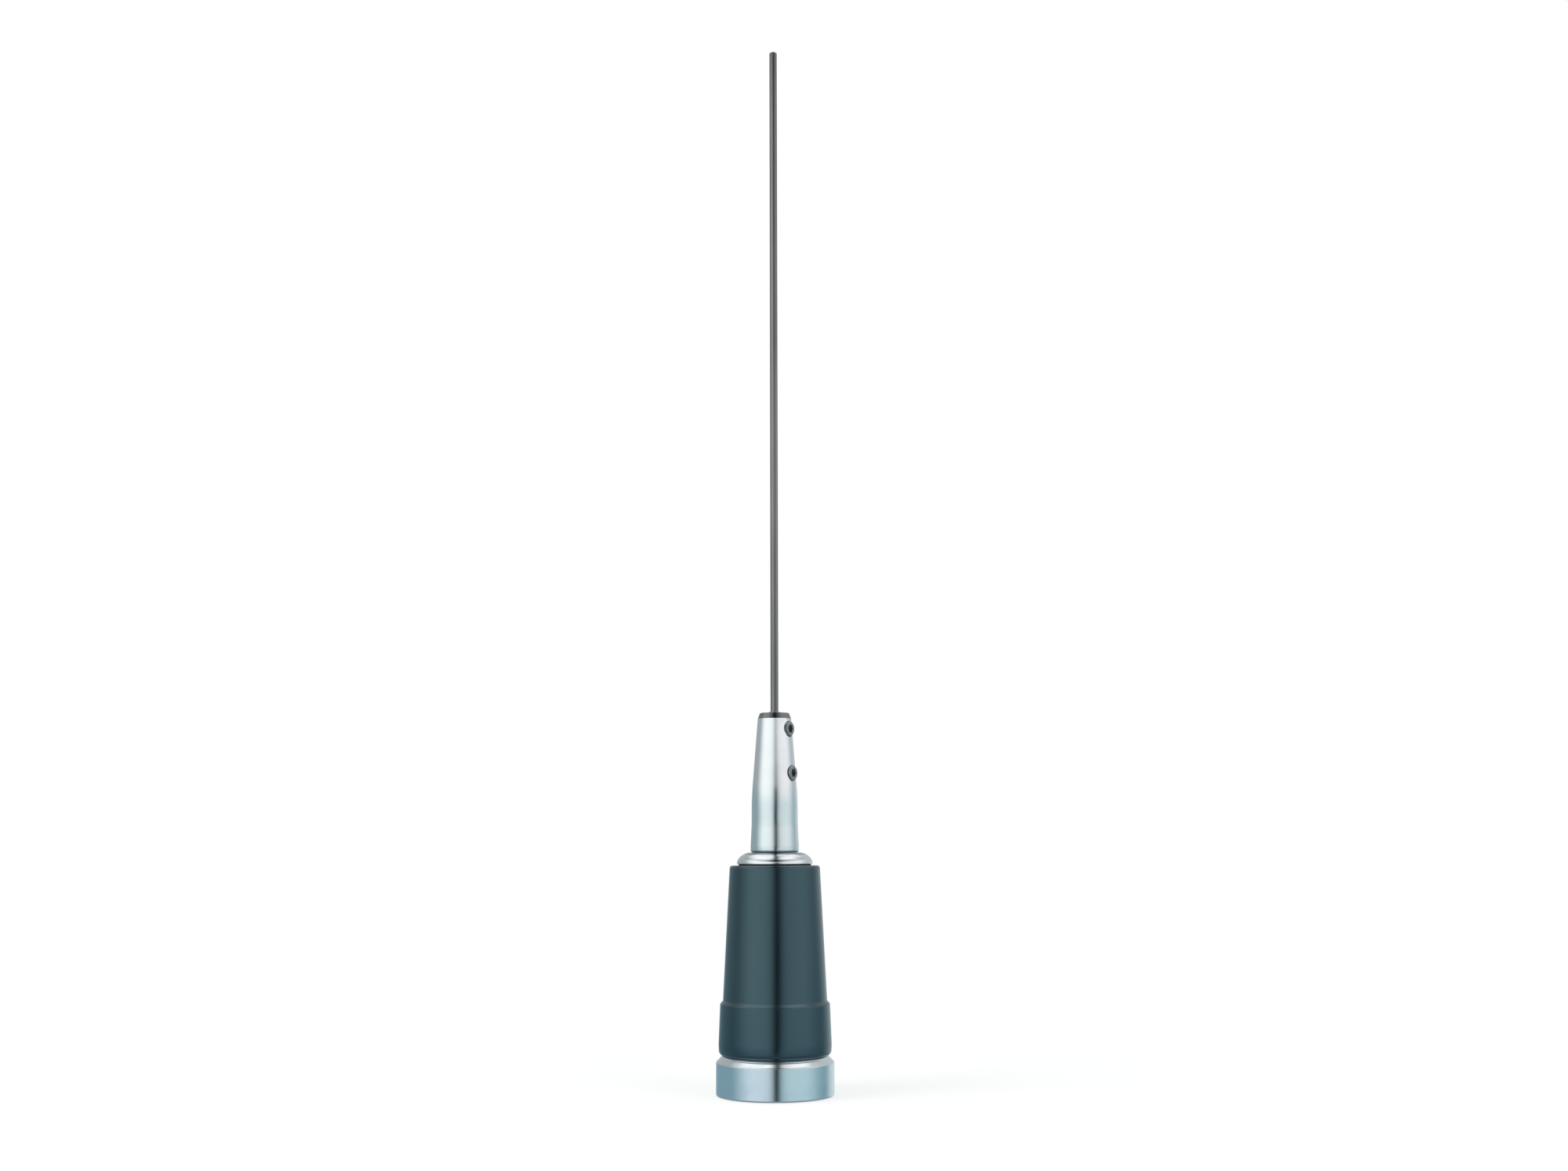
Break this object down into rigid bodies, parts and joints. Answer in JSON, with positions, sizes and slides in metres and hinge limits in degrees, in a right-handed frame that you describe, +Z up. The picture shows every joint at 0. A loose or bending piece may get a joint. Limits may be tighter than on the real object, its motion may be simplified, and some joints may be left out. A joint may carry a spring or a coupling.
{
  "type": "mobile radio antenna",
  "caption": "Base-loaded mobile radio antenna: steel whip clamped by set screws in a tapered chromed ferrule, on a tapered black coil housing with a threaded chromed coupling ring.",
  "frame": {"origin": "centre of the coupling ring's foot, on the surface that the antenna stands on", "axes": "+Z up along the whip; the two set screws face +X; +Y completes the right-handed frame"},
  "size_m": [0.038, 0.038, 0.3528],
  "materials": {
    "chrome_plate": "bright chrome over turned brass, slightly cool",
    "black_moulding": "glossy black moulding with a slight blue-green cast",
    "rubber": "matt black",
    "whip_steel": "dark drawn stainless steel",
    "screw_steel": "plain satin steel",
    "brass": "plain turned brass",
    "gold_plate": "gold flash over turned brass",
    "enamelled_copper": "clear enamelled copper wire",
    "nylon": "natural nylon",
    "laminate": "glass-filled board"
  },
  "bodies": {
    "coil_unit": {"coupling_ring": "chrome_plate", "base_seal": "rubber", "base_board": "laminate", "contact_sleeve": "brass", "contact_nut": "brass", "contact_spring": "screw_steel", "spring_cap": "brass", "tap_lead": "enamelled_copper", "coil_former": "nylon", "coil_winding": "enamelled_copper", "solder_tag": "brass", "housing": "black_moulding", "top_gasket": "rubber", "top_terminal": "chrome_plate", "flat_washer": "screw_steel", "terminal_nut": "brass"},
    "contact": {"contact_plunger": "gold_plate"},
    "lock_washer": {"lock_washer": "screw_steel"},
    "whip_holder": {"ferrule": "chrome_plate"},
    "upper_screw": {"set_screw_upper": "screw_steel"},
    "lower_screw": {"set_screw_lower": "screw_steel"},
    "whip": {"whip": "whip_steel"}
  },
  "joints": [
    {"name": "contact_press", "type": "slide", "parent": "coil_unit", "child": "contact", "axis": [0, 0, 1], "range_m": [0, 0.002], "stiffness_N_per_m": 500, "springref_m": -0.002, "deforming": ["contact_spring"]},
    {"name": "ferrule_lift", "type": "slide", "parent": "coil_unit", "child": "lock_washer", "axis": [0, 0, 1], "range_m": [0, 0.01058]},
    {"name": "ferrule_turn", "type": "hinge", "parent": "lock_washer", "child": "whip_holder", "pos_m": [0, 0, 0.08], "axis": [0, 0, 1], "range_deg": [0, 3600]},
    {"name": "upper_screw_turn", "type": "hinge", "parent": "whip_holder", "child": "upper_screw", "pos_m": [0.0016, 0, 0.1169], "axis": [1, 0, 0], "range_deg": [0, 720]},
    {"name": "lower_screw_turn", "type": "hinge", "parent": "whip_holder", "child": "lower_screw", "pos_m": [0.0016, 0, 0.1024], "axis": [1, 0, 0], "range_deg": [0, 720]},
    {"name": "whip_slide", "type": "slide", "parent": "whip_holder", "child": "whip", "axis": [0, 0, 1], "range_m": [-0.0037, 0.005]}
  ],
  "couplings": [
    {"joint": "ferrule_turn", "follows": "ferrule_lift", "rad_per_m": 5936.9}
  ]
}
